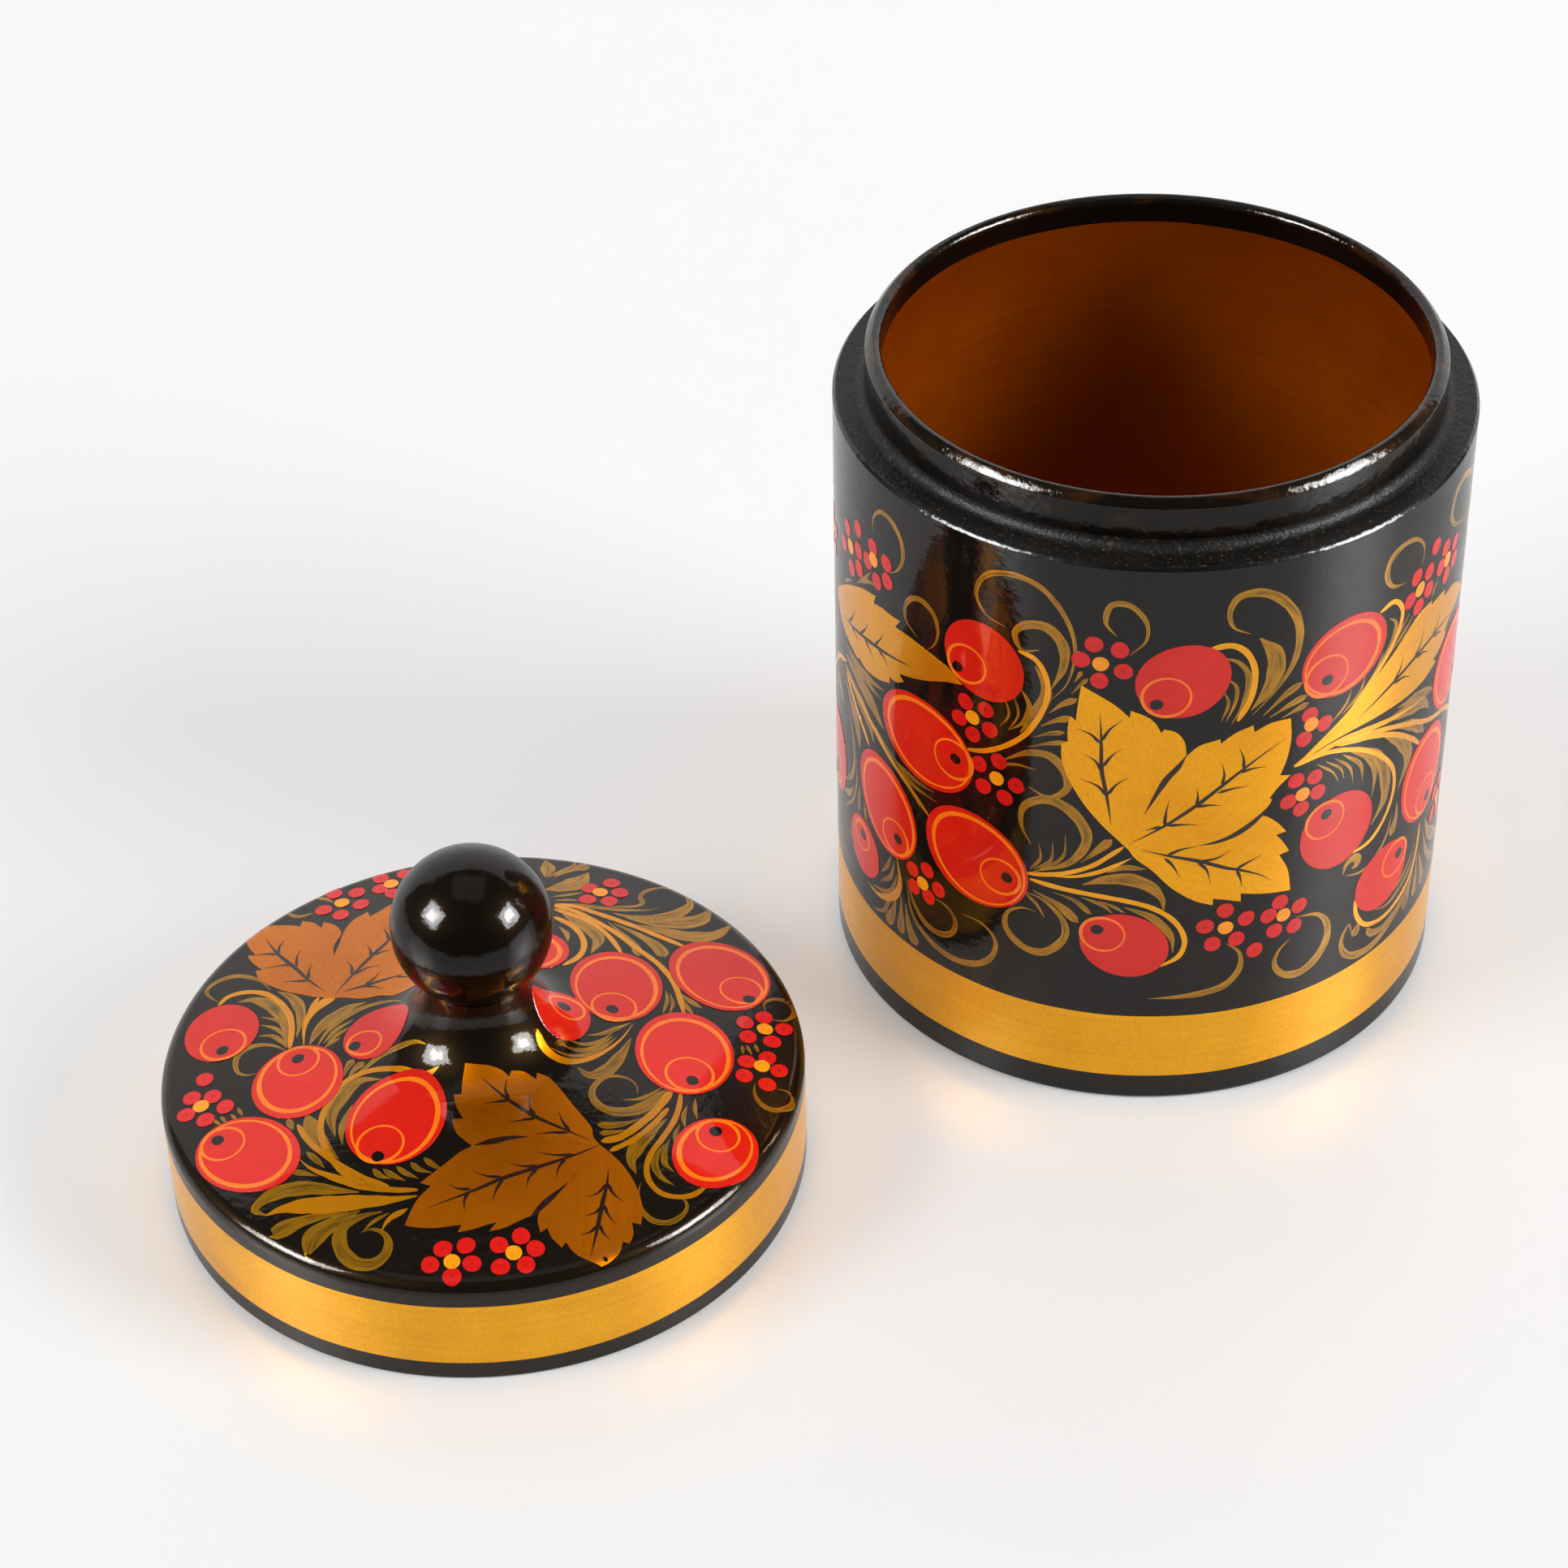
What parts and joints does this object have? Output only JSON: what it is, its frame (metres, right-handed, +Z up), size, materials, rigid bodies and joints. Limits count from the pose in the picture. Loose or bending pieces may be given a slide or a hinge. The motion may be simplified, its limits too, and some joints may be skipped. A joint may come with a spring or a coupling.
{
  "type": "lidded wooden canister",
  "caption": "Turned wooden canister with a stepped collar and a lift-off domed lid with a ball knob, black lacquer with berry and leaf painting.",
  "frame": {"origin": "centre of the jar's foot, on the surface that the jar and the lid stand on", "axes": "+Z up along the jar's axis; the lid lies beside the jar, towards -X and -Y"},
  "size_m": [0.187, 0.1421, 0.1017],
  "materials": {
    "jar_lacquer": "gloss lacquer",
    "lid_lacquer": "gloss lacquer",
    "knob_lacquer": "gloss lacquer"
  },
  "bodies": {
    "jar": {"jar": "jar_lacquer"},
    "lid": {"lid": "lid_lacquer", "knob": "knob_lacquer"}
  },
  "joints": [
    {"name": "lid_lift", "type": "slide", "parent": "jar", "child": "lid", "axis": [0, 0, 1], "range_m": [0, 0.13]}
  ]
}
